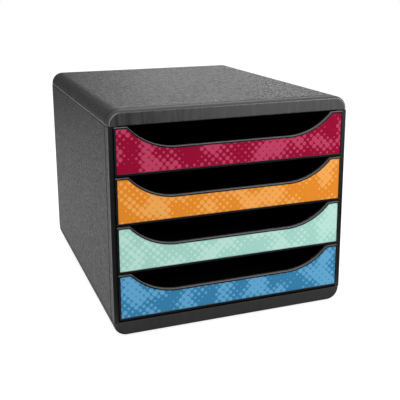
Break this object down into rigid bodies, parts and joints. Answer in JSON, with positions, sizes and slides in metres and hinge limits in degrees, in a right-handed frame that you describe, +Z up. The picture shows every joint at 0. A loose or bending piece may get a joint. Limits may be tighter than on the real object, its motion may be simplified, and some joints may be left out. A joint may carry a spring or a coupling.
{
  "type": "desktop drawer box",
  "caption": "Desktop drawer box with a moulded case and stacked sliding trays whose coloured fronts have a scooped finger edge.",
  "frame": {"origin": "centre of the closed drawer box's footprint, on the surface that its feet stand on", "axes": "+Z up, -Y out of the drawer fronts, +X to the right as seen from the front"},
  "size_m": [0.278, 0.347, 0.25],
  "materials": {
    "casing": "dark grey moulded polystyrene, fine leather grain, smooth band round the front",
    "inner_frame": "black moulded polystyrene, satin",
    "drawer_tray": "black moulded polystyrene, satin",
    "insert_crimson": "crimson printed plastic, tone on tone dots",
    "insert_orange": "orange printed plastic, tone on tone dots",
    "insert_mint": "mint printed plastic, tone on tone dots",
    "insert_blue": "blue printed plastic, tone on tone dots",
    "foot_rubber": "black rubber",
    "screw_steel": "zinc plated"
  },
  "bodies": {
    "cabinet": {"top_cover": "casing", "base_tray": "casing", "left_side_panel": "casing", "right_side_panel": "casing", "back_panel": "casing", "left_runner_frame": "inner_frame", "right_runner_frame": "inner_frame", "base_screws": "screw_steel", "front_left_foot": "foot_rubber", "front_right_foot": "foot_rubber", "rear_left_foot": "foot_rubber", "rear_right_foot": "foot_rubber"},
    "crimson_drawer": {"crimson_drawer_tray": "drawer_tray", "crimson_front_insert": "insert_crimson"},
    "orange_drawer": {"orange_drawer_tray": "drawer_tray", "orange_front_insert": "insert_orange"},
    "mint_drawer": {"mint_drawer_tray": "drawer_tray", "mint_front_insert": "insert_mint"},
    "blue_drawer": {"blue_drawer_tray": "drawer_tray", "blue_front_insert": "insert_blue"}
  },
  "joints": [
    {"name": "crimson_drawer_slide", "type": "slide", "parent": "cabinet", "child": "crimson_drawer", "axis": [0, -1, 0], "range_m": [0, 0.26]},
    {"name": "orange_drawer_slide", "type": "slide", "parent": "cabinet", "child": "orange_drawer", "axis": [0, -1, 0], "range_m": [0, 0.26]},
    {"name": "mint_drawer_slide", "type": "slide", "parent": "cabinet", "child": "mint_drawer", "axis": [0, -1, 0], "range_m": [0, 0.26]},
    {"name": "blue_drawer_slide", "type": "slide", "parent": "cabinet", "child": "blue_drawer", "axis": [0, -1, 0], "range_m": [0, 0.26]}
  ]
}
